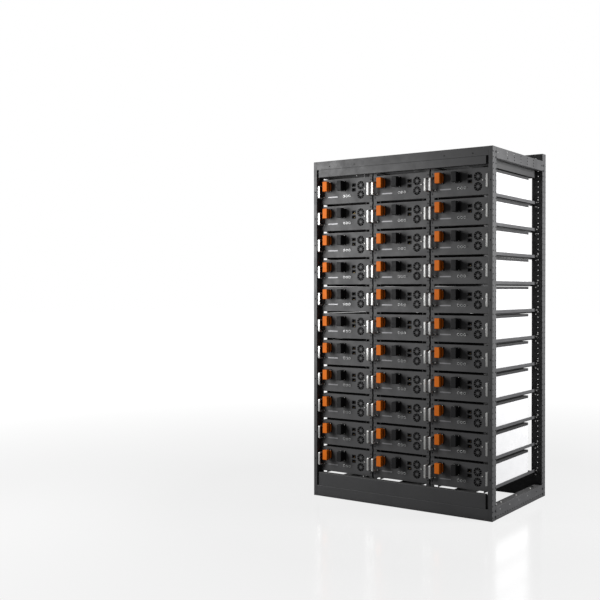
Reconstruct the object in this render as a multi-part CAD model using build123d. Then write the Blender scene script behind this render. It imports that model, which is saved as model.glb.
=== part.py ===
from build123d import *
import os

# Battery energy-storage rack: an open sheet-steel frame with three columns of
# eleven slide-in battery modules.
# Frame of reference: millimetres, +Z up, +X along the width, module fronts face -Y.
# Origin: bottom centre of the bounding box, on the floor.

# ---- driving dimensions: module grid ------------------------------------------
COLUMNS = 3
ROWS = 11
COLUMN_PITCH = 392.0
ROW_PITCH = 165.0
FIRST_ROW_Z = 154.0  # underside of the lowest module panels
DETAILED_COLUMN = 2  # the module that is modelled down to its cells and fans
DETAILED_ROW = 6

# ---- driving dimensions: frame ------------------------------------------------
FRAME_WIDTH = 1216.0
FRAME_DEPTH = 760.0
FRONT_HEIGHT = 2065.0
REAR_HEIGHT = 2109.0
SHEET = 2.0
POST_FLANGE = 24.5  # front flange of a corner post
POST_WEB = 50.0  # side face of a corner post
REAR_PLATE = 70.0  # inward plate of a rear corner post
REAR_FLANGE = 34.0  # rear flange of a rear corner post
BEND = 2.0  # outer radius of the folds that stand outside
RACK_FLANGE = 22.0  # flange behind the ears of a module
MIDDLE_GROOVE = 9.0  # open groove between two columns
MIDDLE_POST_DEPTH = 35.0
REAR_MIDDLE_WIDTH = 70.0
HOLE_RADIUS = 4.2
HOLE_MARGIN = 8.0  # hole columns from both edges of a post side
HOLE_PITCH = 32.0
FIRST_HOLE_Z = 20.0
HOLE_COUNT = 64
HEADER_HEIGHT = 51.0
PLINTH_HEIGHT = 65.0
BEAM_DEPTH = 40.0
FILLER_NOTCH = 16.0
SIDE_TOP_RAIL = 62.0
SIDE_BASE_RAIL = 74.0
TRIPLE_PITCH = 93.0  # between the hole triples of a side top rail
RAIL_TOP_FLANGE = 26.0
BASE_TOP_FLANGE = 50.0
FOOT_FLANGE = 60.0
TOP_GUIDE_X = 560.0  # angles above the modules of the top row
TOP_GUIDE_Z = 1963.0
TOP_GUIDE_FLANGE = 41.0
ANCHOR_RADIUS = 7.0
ANCHOR_X = 571.0
ANCHOR_Y = 260.0

# ---- driving dimensions: module -----------------------------------------------
PANEL_WIDTH = 382.0
PANEL_HEIGHT = 151.0
PANEL_THICKNESS = 3.0
PANEL_RECESS = 37.0  # panel face behind the front flange of the posts
PANEL_GAP = 0.2  # between the panel and the rack flange
CASE_WIDTH = 336.0
CASE_HEIGHT = 150.0
CASE_LENGTH = 564.0
CASE_SHEET = 1.5
COVER_LIP = 15.0
HANDLE_X = 180.0
HANDLE_Z = 75.5
HANDLE_LENGTH = 80.0
HANDLE_WIDTH = 14.0
HANDLE_REACH = 34.0
HANDLE_BAR = 9.0
CONNECTOR_WIDTH = 33.0
CONNECTOR_HEIGHT = 60.0
CONNECTOR_REACH = 50.0
CONNECTOR_Z = 105.0
POSITIVE_X = -124.0
NEGATIVE_X = -19.0
PORT_X = 58.5
PORT_WIDTH = 27.0
PORT_HEIGHT = 21.0
PORT_CENTRES_Z = (107.0, 78.5)
FAN_X = 109.0
FAN_CENTRES_Z = (103.5, 47.0)
FAN_OPENING = 25.0
FAN_HUB = 9.0
FAN_SLOTS = 10
FAN_SPOKE = 2.6
AIR_SLOT = (5.0, 50.0)  # width and height of a slot in the rear wall of a case
AIR_SLOT_PITCH = 12.0
AIR_SLOTS = 9  # in each of the two banks
AIR_BANK_X = 90.0
AIR_SLOT_Z = 75.0
STATUS_Z = 44.0
BUTTON_X = -12.0
LIGHT_CENTRES_X = (8.0, 28.0)
RESET_X = 44.0
BEZEL_RADIUS = 7.5
BUTTON_RADIUS = 4.5
EAR_SCREW_X = 181.0
EAR_SCREW_Z = (20.0, 134.0)
SCREW_HEAD = 4.5
CELL_SIZE = (160.0, 50.0, 118.0)
CELL_ROWS = 8

# ---- driving dimensions: support rails ----------------------------------------
RAIL_SHEET = 2.0
RAIL_INNER = 168.5  # inside of the upright leg, from the column centre
RAIL_SHELF = 24.5
RAIL_LEG = 16.0
RAIL_DROP = 12.0
RAIL_TAB = 18.0
RAIL_SCREW = 2.5

# ---- derived places -----------------------------------------------------------
CONNECTOR_OVERHANG = CONNECTOR_REACH - PANEL_RECESS
FRONT_Y = -(FRAME_DEPTH - CONNECTOR_OVERHANG) / 2
REAR_Y = FRONT_Y + FRAME_DEPTH
PANEL_Y = FRONT_Y + PANEL_RECESS
FLANGE_Y = PANEL_Y + PANEL_THICKNESS + PANEL_GAP
REAR_PLATE_Y = REAR_Y - POST_WEB
HALF_WIDTH = FRAME_WIDTH / 2
INNER_HALF = HALF_WIDTH - POST_FLANGE
REAR_HOLE_X = HALF_WIDTH - 29.0  # hole column in a rear corner plate
MIDDLE_X = tuple(COLUMN_PITCH * (i - 0.5) for i in range(COLUMNS - 1))
HOLE_HEIGHTS = tuple(FIRST_HOLE_Z + HOLE_PITCH * i for i in range(HOLE_COUNT))
LAST_ROW_TOP = FIRST_ROW_Z + ROW_PITCH * (ROWS - 1) + PANEL_HEIGHT
HEADER_Z = FRONT_HEIGHT - HEADER_HEIGHT
FILLER_Z = LAST_ROW_TOP + 13.0
PLINTH_TOP = FIRST_ROW_Z - 8.0


def block(x0, x1, y0, y1, z0, z1):
    """Box between two corners."""
    centre = ((x0 + x1) / 2, (y0 + y1) / 2, (z0 + z1) / 2)
    return Pos(*centre) * Box(abs(x1 - x0), abs(y1 - y0), abs(z1 - z0))


def rod_y(x, z, radius, y0, y1):
    """Cylinder along Y."""
    return Pos(x, (y0 + y1) / 2, z) * Rot(90, 0, 0) * Cylinder(radius, abs(y1 - y0))


def rod_x(y, z, radius, x0, x1):
    """Cylinder along X."""
    return Pos((x0 + x1) / 2, y, z) * Rot(0, 90, 0) * Cylinder(radius, abs(x1 - x0))


def upright(points, z0, z1):
    """Closed XY outline carried from z0 up to z1."""
    face = make_face(Polyline(*points, close=True))
    return Pos(0, 0, z0) * extrude(face, amount=z1 - z0, dir=(0, 0, 1))


def lengthwise(points, y0, y1):
    """Closed XZ outline, given as (x, z), carried from y0 to y1."""
    outline = [(x, 0, z) for x, z in points]
    face = make_face(Polyline(*outline, close=True))
    return Pos(0, y0, 0) * extrude(face, amount=y1 - y0, dir=(0, 1, 0))


def mirrored(shape):
    """The same piece on the other side of the middle plane."""
    return mirror(shape, about=Plane.YZ)


def side_holes(y, heights, side):
    """Tools for holes along X through a side face."""
    x = side * HALF_WIDTH
    return [rod_x(y, z, HOLE_RADIUS, x - 5, x + 5) for z in heights]


def save(node, *solids):
    """Write one sub-part; several solids stay separate in one file."""
    shape = solids[0] if len(solids) == 1 else Compound(children=list(solids))
    export_step(shape, os.path.join("parts", node + ".step"))


def column_x(column):
    return COLUMN_PITCH * (column - (COLUMNS - 1) / 2)


def row_z(row):
    return FIRST_ROW_Z + ROW_PITCH * row


# ---- frame ----------------------------------------------------------------------
def front_corner_post():
    """Right front post: a closed tube with rounded edges and two columns of side holes."""
    x, s = HALF_WIDTH, SHEET
    outer = block(x - POST_FLANGE, x, FRONT_Y, FRONT_Y + POST_WEB, 0, FRONT_HEIGHT)
    outer = fillet(outer.edges().filter_by(Axis.Z), BEND)
    hollow = block(x - POST_FLANGE + s, x - s, FRONT_Y + s, FRONT_Y + POST_WEB - s,
                   -1, FRONT_HEIGHT - s)
    cuts = [hollow]
    cuts += side_holes(FRONT_Y + HOLE_MARGIN, HOLE_HEIGHTS, 1)
    cuts += side_holes(FRONT_Y + POST_WEB - HOLE_MARGIN, HOLE_HEIGHTS, 1)
    for row in range(ROWS):
        z = row_z(row) + PANEL_HEIGHT / 2
        cuts.append(rod_y(x - POST_FLANGE / 2, z, HOLE_RADIUS, FRONT_Y - 1, FRONT_Y + 5))
    return outer - cuts


def rack_flange():
    """Strip welded to the right front post that the module ears screw against."""
    inner = INNER_HALF
    strip = block(inner - RACK_FLANGE, inner, FLANGE_Y, FLANGE_Y + SHEET, 0, FRONT_HEIGHT)
    holes = []
    for row in range(ROWS):
        for screw_z in EAR_SCREW_Z:
            x, z = column_x(COLUMNS - 1) + EAR_SCREW_X, row_z(row) + screw_z
            holes.append(rod_y(x, z, 2.7, FLANGE_Y - 1, FLANGE_Y + 5))
    return strip - holes


def rear_corner_post():
    """Right rear post: side web, rear flange and a wide plate that faces forward."""
    x, s = HALF_WIDTH, SHEET
    outline = [
        (x, REAR_Y),
        (x, REAR_PLATE_Y),
        (x - REAR_PLATE, REAR_PLATE_Y),
        (x - REAR_PLATE, REAR_PLATE_Y + s),
        (x - s, REAR_PLATE_Y + s),
        (x - s, REAR_Y - s),
        (x - REAR_FLANGE, REAR_Y - s),
        (x - REAR_FLANGE, REAR_Y),
    ]
    post = upright(outline, 0, REAR_HEIGHT)
    corners = post.edges().filter_by(Axis.Z).group_by(Axis.X)[-1]
    post = fillet(corners, BEND)
    cuts = side_holes(REAR_PLATE_Y + HOLE_MARGIN, HOLE_HEIGHTS, 1)
    cuts += side_holes(REAR_PLATE_Y + POST_WEB - HOLE_MARGIN, HOLE_HEIGHTS, 1)
    for z in HOLE_HEIGHTS:
        cuts.append(rod_y(REAR_HOLE_X, z, 2.3, REAR_PLATE_Y - 1, REAR_PLATE_Y + 5))
    return post - cuts


def front_middle_post(x):
    """Post between two columns: two rack flanges joined by a deep groove."""
    half, s = MIDDLE_GROOVE / 2, SHEET
    back = FLANGE_Y + MIDDLE_POST_DEPTH
    right = [
        (half, back - s),
        (half, FLANGE_Y),
        (half + RACK_FLANGE, FLANGE_Y),
        (half + RACK_FLANGE, FLANGE_Y + s),
        (half + s, FLANGE_Y + s),
        (half + s, back),
    ]
    left = [(-px, py) for px, py in reversed(right)]
    return Pos(x, 0, 0) * upright(right + left, 0, FRONT_HEIGHT - SHEET)


def rear_middle_post(x):
    """Rear post between two columns: a channel that faces forward."""
    half, s = REAR_MIDDLE_WIDTH / 2, SHEET
    back = REAR_Y - 12
    outline = [
        (-half, REAR_PLATE_Y),
        (half, REAR_PLATE_Y),
        (half, back),
        (half - s, back),
        (half - s, REAR_PLATE_Y + s),
        (-half + s, REAR_PLATE_Y + s),
        (-half + s, back),
        (-half, back),
    ]
    post = Pos(x, 0, 0) * upright(outline, PLINTH_TOP, REAR_HEIGHT - SIDE_TOP_RAIL)
    cuts = [rod_y(x, z, 4.5, REAR_PLATE_Y - 1, REAR_PLATE_Y + 5) for z in HOLE_HEIGHTS[5:-3]]
    return post - cuts


def channel_x(x0, x1, z0, z1, y_face, depth):
    """Channel along X: a web on y_face and two flanges reaching back by depth."""
    s = SHEET if depth > 0 else -SHEET
    web = block(x0, x1, y_face, y_face + s, z0, z1)
    top = block(x0, x1, y_face, y_face + depth, z1 - SHEET, z1)
    bottom = block(x0, x1, y_face, y_face + depth, z0, z0 + SHEET)
    channel = web + top + bottom
    face = channel.edges().filter_by(Axis.X).filter_by_position(Axis.Y, y_face - 0.01, y_face + 0.01)
    return fillet(face, BEND)


def front_header():
    header = channel_x(-INNER_HALF, INNER_HALF, HEADER_Z, FRONT_HEIGHT, FRONT_Y,
                       FLANGE_Y - FRONT_Y)
    for x in (120, 302):
        nut = rod_y(HALF_WIDTH - x, HEADER_Z + 18, 6.5, FRONT_Y + 1, FRONT_Y + 12)
        hole = rod_y(HALF_WIDTH - x, HEADER_Z + 18, 3.6, FRONT_Y - 1, FRONT_Y + 10)
        header = (header + [nut, mirrored(nut)]) - [hole, mirrored(hole)]
    return header


def front_plinth():
    return channel_x(-INNER_HALF, INNER_HALF, 0, PLINTH_HEIGHT, FRONT_Y, FLANGE_Y - FRONT_Y)


def filler_panel(z0, z1, seam_z):
    """Cover strip beside the header or plinth, with tabs set back at both ends."""
    half = INNER_HALF - FILLER_NOTCH
    panel = channel_x(-half, half, z0, z1, FRONT_Y, BEAM_DEPTH - 10)
    tab = block(half - 15, INNER_HALF, FRONT_Y + 10, FRONT_Y + 12, z0, z1)
    seam = block(-half, half, FRONT_Y - 1, FRONT_Y + 1, seam_z - 1.5, seam_z + 1.5)
    return (panel - seam) + tab + mirrored(tab)


def rear_tube(z0, z1):
    """Closed rectangular tube between the rear corner posts."""
    width, s = HALF_WIDTH - SHEET, SHEET
    y0, y1 = REAR_PLATE_Y + s, REAR_Y - s
    hollow = block(-width - 1, width + 1, y0 + s, y1 - s, z0 + s, z1 - s)
    return block(-width, width, y0, y1, z0, z1) - hollow


def frame_beams():
    """Rear header, rear base beam, ties from the middle posts and top guides."""
    beams = [rear_tube(REAR_HEIGHT - SIDE_TOP_RAIL, REAR_HEIGHT), rear_tube(0, PLINTH_TOP)]
    front = FLANGE_Y + MIDDLE_POST_DEPTH
    for x in MIDDLE_X:
        for z0, z1 in ((5, PLINTH_HEIGHT - 5), (HEADER_Z - 30, HEADER_Z + 20)):
            end = REAR_PLATE_Y if z1 > PLINTH_HEIGHT else REAR_PLATE_Y + SHEET
            floor = block(x - 20, x + 20, front, end, z0, z0 + SHEET)
            wall = block(x - 20, x - 18, front, end, z0, z1)
            beams.append(floor + wall + Pos(38, 0, 0) * wall)
    guide = top_guide()
    return beams + [guide, mirrored(guide)]


def top_guide():
    """Right angle above the top modules, with a tab that meets the front rack flange."""
    x, y0 = TOP_GUIDE_X, FLANGE_Y + SHEET
    z0, z1 = TOP_GUIDE_Z, TOP_GUIDE_Z + 50
    web = block(x - SHEET, x, y0, REAR_PLATE_Y, z0, z1)
    flange = block(x - TOP_GUIDE_FLANGE, x, y0, REAR_PLATE_Y, z0, z0 + SHEET)
    tab = block(x - SHEET, INNER_HALF, y0, y0 + SHEET, z0, z1)
    return web + flange + tab


def side_rail(z0, z1, shoulder, foot, holes):
    """Right side rail between the front and rear corner posts, with flanges turned inward."""
    x = HALF_WIDTH
    y0, y1 = FRONT_Y + POST_WEB, REAR_PLATE_Y
    web = block(x - SHEET, x, y0, y1, z0, z1)
    top = block(x - shoulder, x, y0, y1, z1 - SHEET, z1)
    bottom = block(x - foot, x, y0, y1, z0, z0 + SHEET)
    rail = web + top + bottom
    folds = rail.edges().filter_by(Axis.Y).group_by(Axis.X)[-1]
    return fillet(folds, BEND) - holes


def top_rail_holes():
    """Five vertical triples of holes and a single at each end."""
    middle = FRONT_HEIGHT - SIDE_TOP_RAIL / 2
    tools = []
    for i in range(5):
        y = TRIPLE_PITCH * (i - 2) + 8
        for dz in (-17, 0, 17):
            tools.append(rod_x(y, middle + dz, HOLE_RADIUS, HALF_WIDTH - 5, HALF_WIDTH + 5))
    for y in (FRONT_Y + POST_WEB + 20, REAR_PLATE_Y - 20):
        tools.append(rod_x(y, middle, HOLE_RADIUS, HALF_WIDTH - 5, HALF_WIDTH + 5))
    return tools


def base_rail_holes():
    """A dense lower row of holes, a sparse upper row and two floor anchor holes with access."""
    span = REAR_PLATE_Y - FRONT_Y - POST_WEB
    tools = []
    count = int(span // HOLE_PITCH)
    for i in range(count):
        y = FRONT_Y + POST_WEB + HOLE_PITCH * (i + 0.8)
        tools.append(rod_x(y, 20, HOLE_RADIUS, HALF_WIDTH - 5, HALF_WIDTH + 5))
        if i % 4 == 1:
            tools.append(rod_x(y, 52, HOLE_RADIUS, HALF_WIDTH - 5, HALF_WIDTH + 5))
    for y in (-ANCHOR_Y, ANCHOR_Y):
        tools.append(Pos(ANCHOR_X, y, 0) * Cylinder(ANCHOR_RADIUS, 10))
        tools.append(Pos(ANCHOR_X, y, SIDE_BASE_RAIL) * Cylinder(2 * ANCHOR_RADIUS, 10))
    return tools


def side_rails():
    top = side_rail(FRONT_HEIGHT - SIDE_TOP_RAIL, FRONT_HEIGHT, RAIL_TOP_FLANGE,
                    RAIL_TOP_FLANGE, top_rail_holes())
    base = side_rail(0, SIDE_BASE_RAIL, BASE_TOP_FLANGE, FOOT_FLANGE, base_rail_holes())
    return [top, base, mirrored(top), mirrored(base)]


def support_rail():
    """Right support rail of a module at column 0, panel underside at z = 0."""
    shelf_top = 0.1
    x0, x1 = RAIL_INNER - RAIL_SHELF, RAIL_INNER + RAIL_SHEET
    outline = [
        (x0, -RAIL_DROP),
        (x0 + RAIL_SHEET, -RAIL_DROP),
        (x0 + RAIL_SHEET, shelf_top - RAIL_SHEET),
        (x1, shelf_top - RAIL_SHEET),
        (x1, RAIL_LEG),
        (RAIL_INNER, RAIL_LEG),
        (RAIL_INNER, shelf_top),
        (x0, shelf_top),
    ]
    y0, y1 = FLANGE_Y + SHEET, REAR_PLATE_Y
    rail = lengthwise(outline, y0, y1)
    x2 = x1 + RAIL_TAB
    for end, other in ((y0, y0 + RAIL_SHEET), (y1 - RAIL_SHEET, y1)):
        rail = rail + block(RAIL_INNER, x2, end, other, shelf_top - RAIL_SHEET, RAIL_LEG)
    hole = rod_y(x1 + RAIL_TAB / 2, RAIL_LEG / 2, RAIL_SCREW + 0.1, y1 - 10, y1 + 10)
    return rail - hole


def rail_screw():
    """Pan-head screw in the rear tab of a support rail."""
    x = RAIL_INNER + RAIL_SHEET + RAIL_TAB / 2
    y = REAR_PLATE_Y - RAIL_SHEET
    shank = rod_y(x, RAIL_LEG / 2, RAIL_SCREW, y - 1, REAR_PLATE_Y)
    return rod_y(x, RAIL_LEG / 2, SCREW_HEAD, y - 3, y) + shank


def at_every_module(shape):
    """Copies of a right-hand piece and its mirror image at every module place."""
    copies = []
    for column in range(COLUMNS):
        for row in range(ROWS):
            place = Pos(column_x(column), 0, row_z(row))
            copies += [place * shape, place * mirrored(shape)]
    return copies


def frame_bolt(y, z):
    """Button-head bolt through a side hole of a corner post."""
    head = rod_x(y, z, 6.5, HALF_WIDTH, HALF_WIDTH + 3)
    return head + rod_x(y, z, HOLE_RADIUS - 0.3, HALF_WIDTH - 8, HALF_WIDTH + 1)


def frame_bolts():
    bolts = []
    for y in (FRONT_Y + POST_WEB - HOLE_MARGIN, REAR_PLATE_Y + HOLE_MARGIN):
        for i in (0, 1, HOLE_COUNT - 2, HOLE_COUNT - 1):
            bolt = frame_bolt(y, HOLE_HEIGHTS[i])
            bolts += [bolt, mirrored(bolt)]
    for row in range(ROWS):
        z = row_z(row)
        for x, dz in ((REAR_HOLE_X, 24), (REAR_HOLE_X - 13, -18)):
            screw = rod_y(x, z + dz, SCREW_HEAD, REAR_PLATE_Y - 3, REAR_PLATE_Y)
            bolts += [screw, mirrored(screw)]
    header_bolt = rod_y(HALF_WIDTH - 45, REAR_HEIGHT - 31, 6.5, REAR_PLATE_Y - 3, REAR_PLATE_Y)
    bolts += [header_bolt, mirrored(header_bolt)]
    for y in (-210, 0, 210):
        screw = Pos(HALF_WIDTH - 25, y, SIDE_BASE_RAIL + 1.5) * Cylinder(SCREW_HEAD, 3)
        bolts += [screw, mirrored(screw)]
    return bolts + at_every_module(rail_screw())


# ---- module pieces, at column 0 with the panel underside at z = 0 -----------------
def handle_pieces():
    """Grip bar and two feet of the right handle."""
    y_bar = PANEL_Y - HANDLE_REACH
    half = HANDLE_LENGTH / 2
    bar_box = block(HANDLE_X - HANDLE_WIDTH / 2, HANDLE_X + HANDLE_WIDTH / 2,
                    y_bar, y_bar + HANDLE_BAR, HANDLE_Z - half, HANDLE_Z + half)
    ends = bar_box.edges().filter_by(Axis.X).group_by(Axis.Y)[0]
    bar = chamfer(ends, HANDLE_BAR - 3)
    feet = []
    for side in (-1, 1):
        z = HANDLE_Z + side * (half - HANDLE_BAR / 2)
        foot = block(HANDLE_X - HANDLE_WIDTH / 2, HANDLE_X + HANDLE_WIDTH / 2,
                     y_bar + HANDLE_BAR, PANEL_Y, z - HANDLE_BAR / 2, z + HANDLE_BAR / 2)
        feet.append(foot)
    return bar, feet


def connector_head(x):
    """Mating head of a power connector, with its front edges rounded."""
    half = CONNECTOR_WIDTH / 2
    body = block(x - half, x + half, PANEL_Y - CONNECTOR_REACH, PANEL_Y - 22,
                 CONNECTOR_Z - CONNECTOR_HEIGHT / 2, CONNECTOR_Z + CONNECTOR_HEIGHT / 2)
    return fillet(body.faces().sort_by(Axis.Y)[0].edges(), 3)


def connector_base(x, reach):
    """Mounting base of a power connector on the panel."""
    half = CONNECTOR_WIDTH / 2 + 1.5
    return block(x - half, x + half, PANEL_Y - reach, PANEL_Y,
                 CONNECTOR_Z - CONNECTOR_HEIGHT / 2 - 1, CONNECTOR_Z + CONNECTOR_HEIGHT / 2 + 1)


def connector(x):
    """Complete panel connector: base, neck, head, side latch and rear stud."""
    neck = block(x - 13, x + 13, PANEL_Y - 23, PANEL_Y - 10, CONNECTOR_Z - 26, CONNECTOR_Z + 26)
    latch = block(x + 17, x + 20, PANEL_Y - 12, PANEL_Y - 3, CONNECTOR_Z - 16, CONNECTOR_Z + 16)
    stem = block(x - 12, x + 12, PANEL_Y - 1, PANEL_Y + 28, CONNECTOR_Z - 20, CONNECTOR_Z + 20)
    stud = rod_y(x, CONNECTOR_Z, 6, PANEL_Y + 27, PANEL_Y + 48)
    return connector_base(x, 12) + neck + connector_head(x) + latch + stem + stud


def simple_module():
    """Module as separate plain solids: case sheets, cell block, panel and fittings."""
    half, s = CASE_WIDTH / 2, CASE_SHEET
    y0 = PANEL_Y + PANEL_THICKNESS
    y1 = y0 + CASE_LENGTH
    z0, z1 = 0.5, CASE_HEIGHT + 0.5
    cell_w, cell_d, cell_h = CELL_SIZE
    pitch = cell_d + 2
    solids = [
        block(-half, half, y0, y1, z0, z0 + s),
        block(-half, half, y0, y1, z1 - s, z1),
        block(-half, -half + s, y0, y1, z0 + s, z1 - s),
        block(half - s, half, y0, y1, z0 + s, z1 - s),
        block(-half + s, half - s, y1 - s, y1, z0 + s, z1 - s),
        block(-cell_w, cell_w, y1 - 12 - pitch * CELL_ROWS, y1 - 12, z0 + s, z0 + s + cell_h),
        block(-PANEL_WIDTH / 2, PANEL_WIDTH / 2, PANEL_Y, y0, 0, PANEL_HEIGHT),
    ]
    bar, feet = handle_pieces()
    for piece in (bar, *feet):
        solids += [piece, mirrored(piece)]
    for x in (POSITIVE_X, NEGATIVE_X):
        solids += [connector_base(x, 22), connector_head(x)]
    for z in FAN_CENTRES_Z:
        solids.append(rod_y(FAN_X, z, FAN_OPENING + 1.5, PANEL_Y - 1.5, PANEL_Y))
    return solids


def place_all(solids, column, row):
    where = Pos(column_x(column), 0, row_z(row))
    return [where * solid for solid in solids]


# ---- detailed module ------------------------------------------------------------
def front_panel():
    """Panel with ears, fan grilles and openings for every fitting."""
    y0, y1 = PANEL_Y, PANEL_Y + PANEL_THICKNESS
    panel = block(-PANEL_WIDTH / 2, PANEL_WIDTH / 2, y0, y1, 0, PANEL_HEIGHT)
    cuts = []
    for x in (POSITIVE_X, NEGATIVE_X):
        cuts.append(block(x - 12.3, x + 12.3, y0 - 1, y1 + 1, CONNECTOR_Z - 20.3,
                          CONNECTOR_Z + 20.3))
    for z in PORT_CENTRES_Z:
        half_w, half_h = PORT_WIDTH / 2 - 2, PORT_HEIGHT / 2 - 2
        cuts.append(block(PORT_X - half_w, PORT_X + half_w, y0 - 1, y1 + 1, z - half_h,
                          z + half_h))
    for x in (BUTTON_X, *LIGHT_CENTRES_X):
        cuts.append(rod_y(x, STATUS_Z, BUTTON_RADIUS + 0.3, y0 - 1, y1 + 1))
    cuts.append(rod_y(RESET_X, STATUS_Z, 2, y0 - 1, y1 + 1))
    for side in (-1, 1):
        for z in EAR_SCREW_Z:
            cuts.append(rod_y(side * EAR_SCREW_X, z, 2.6, y0 - 1, y1 + 1))
    for z in FAN_CENTRES_Z:
        cuts += grille_slots(z, y0 - 1, y1 + 1)
    return panel - cuts


def grille_slots(z, y0, y1):
    """Wedge slots of one fan grille around a solid hub."""
    ring = rod_y(FAN_X, z, FAN_OPENING, y0, y1) - rod_y(FAN_X, z, FAN_HUB, y0, y1)
    spokes = []
    for i in range(FAN_SLOTS // 2):
        spoke = Box(FAN_OPENING * 2 + 4, y1 - y0 + 2, FAN_SPOKE)
        where = Pos(FAN_X, (y0 + y1) / 2, z) * Rot(0, 360 / FAN_SLOTS * i, 0)
        spokes.append(where * spoke)
    return list((ring - spokes).solids())


def rear_slots(y):
    """Two banks of air slots through the rear wall of the case."""
    width, height = AIR_SLOT
    slot = Box(width, 6, height - width)
    for end in (-1, 1):
        slot += rod_y(0, end * (height - width) / 2, width / 2, -3, 3)
    slots = []
    for bank in (-AIR_BANK_X, AIR_BANK_X):
        for i in range(AIR_SLOTS):
            x = bank + AIR_SLOT_PITCH * (i - (AIR_SLOTS - 1) / 2)
            slots.append(Pos(x, y, AIR_SLOT_Z) * slot)
    return slots


def case_tray():
    """Floor, two sides and the slotted rear wall of the case."""
    half, s = CASE_WIDTH / 2, CASE_SHEET
    y0 = PANEL_Y + PANEL_THICKNESS
    y1 = y0 + CASE_LENGTH
    z0, z1 = 0.5, CASE_HEIGHT + 0.5 - s
    outer = block(-half, half, y0, y1, z0, z1)
    hollow = block(-half + s, half - s, y0 - 1, y1 - s, z0 + s, z1 + 1)
    return (outer - hollow) - rear_slots(y1)


def case_cover():
    """Lid with two turned-down lips that clasp the tray."""
    half, s = CASE_WIDTH / 2, 1.2
    y0 = PANEL_Y + PANEL_THICKNESS + 1
    y1 = y0 + CASE_LENGTH - 1
    z1 = CASE_HEIGHT + 0.5
    top = block(-half - s, half + s, y0, y1, z1 - CASE_SHEET, z1)
    lip = block(half, half + s, y0, y1, z1 - COVER_LIP, z1)
    return top + lip + mirrored(lip)


def cell_centres():
    """Centres of the cells: two columns, eight rows, behind the control bay."""
    width, depth, height = CELL_SIZE
    y1 = PANEL_Y + PANEL_THICKNESS + CASE_LENGTH - 12
    z = 0.5 + CASE_SHEET + 2 + height / 2
    return [
        [(x, y1 - (depth + 2) * (i + 0.5), z) for i in range(CELL_ROWS)]
        for x in (-width / 2 - 1, width / 2 + 1)
    ]


def cell():
    """Prismatic cell with two terminal pads."""
    width, depth, height = CELL_SIZE
    body = Box(width, depth, height)
    pads = [Pos(side * 60, 0, height / 2 + 1.5) * Box(18, 26, 3) for side in (-1, 1)]
    return body + pads


def busbars():
    """Links between neighbouring cells and the two leads to the connectors."""
    width, depth, height = CELL_SIZE
    bars = []
    columns = cell_centres()
    for centres in columns:
        for i, (x, y, z) in enumerate(centres[:-1]):
            side = 60 if i % 2 == 0 else -60
            middle = y - (depth + 2) / 2
            link = Pos(x + side, middle, z + height / 2 + 4) * Box(18, depth + 24, 2)
            bars.append(link)
    rear = columns[0][0]
    cross = Pos(0, rear[1], rear[2] + height / 2 + 4) * Box(width - 60, 14, 2)
    return bars + [cross]


def management_board():
    """Upright circuit board with its relay, shunt and heat sink."""
    y0 = PANEL_Y + 92
    board = block(-150, 80, y0, y0 + 1.6, 6, 130)
    relay = block(-140, -92, y0 - 36, y0, 20, 60)
    shunt = block(-70, -10, y0 - 10, y0, 90, 112)
    sink = block(0, 70, y0 - 20, y0, 30, 84)
    fins = [block(4 + 12 * i, 10 + 12 * i, y0 - 21, y0 - 6, 29, 85) for i in range(5)]
    feet = [block(x, x + 12, y0 - 12, y0 + 12, 2, 7) for x in (-140, 60)]
    return board + relay + shunt + (sink - fins) + feet


def fan_housing(z):
    """Square fan frame behind a grille, with a hub held on four struts."""
    y0 = PANEL_Y + PANEL_THICKNESS
    half = FAN_OPENING + 2
    frame = block(FAN_X - half, FAN_X + half, y0, y0 + 22, z - half, z + half)
    frame = frame - rod_y(FAN_X, z, FAN_OPENING, y0 - 1, y0 + 23)
    hub = rod_y(FAN_X, z, 11, y0 + 19, y0 + 22)
    strut = block(FAN_X - 26, FAN_X + 26, y0 + 19.5, y0 + 22, z - 1.5, z + 1.5)
    upright_strut = block(FAN_X - 1.5, FAN_X + 1.5, y0 + 19.5, y0 + 22, z - 26, z + 26)
    shaft = rod_y(FAN_X, z, 1.5, y0 + 8, y0 + 20)
    return frame + hub + strut + upright_strut + shaft


def fan_rotor(z):
    """Hub and seven pitched blades, bored for the fan shaft."""
    y0 = PANEL_Y + PANEL_THICKNESS + 3
    hub = rod_y(FAN_X, z, 11, y0, y0 + 14)
    hub = hub - rod_y(FAN_X, z, 1.6, y0 + 4, y0 + 15)
    blades = []
    for i in range(7):
        blade = Pos(0, 0, 16.5) * Rot(0, 0, 35) * Box(11, 1.6, 12.5)
        where = Pos(FAN_X, y0 + 7, z) * Rot(0, 360 / 7 * i, 0)
        blades.append(where * blade)
    return hub + blades


def data_port(z):
    """Shielded data socket with a keyed mouth."""
    half_w, half_h = PORT_WIDTH / 2, PORT_HEIGHT / 2
    bezel = block(PORT_X - half_w, PORT_X + half_w, PANEL_Y - 1.5, PANEL_Y, z - half_h, z + half_h)
    half_w, half_h = half_w - 2.2, half_h - 2.2
    body = block(PORT_X - half_w, PORT_X + half_w, PANEL_Y, PANEL_Y + 20, z - half_h, z + half_h)
    mouth = block(PORT_X - 8, PORT_X + 8, PANEL_Y - 3, PANEL_Y + 14, z - 5.5, z + 4)
    key = block(PORT_X - 3.5, PORT_X + 3.5, PANEL_Y - 3, PANEL_Y + 14, z + 3, z + 6)
    return bezel + body - [mouth, key]


def ring_bezel(x):
    """Bright ring around a light or the button."""
    return (rod_y(x, STATUS_Z, BEZEL_RADIUS, PANEL_Y - 2, PANEL_Y)
            - rod_y(x, STATUS_Z, BUTTON_RADIUS + 0.3, PANEL_Y - 3, PANEL_Y + 1))


def status_light(x):
    """Ring and lens of an indicator light, one solid."""
    ring = rod_y(x, STATUS_Z, BEZEL_RADIUS, PANEL_Y - 2, PANEL_Y)
    return ring + rod_y(x, STATUS_Z, BUTTON_RADIUS, PANEL_Y - 2.5, PANEL_Y + 8)


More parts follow.
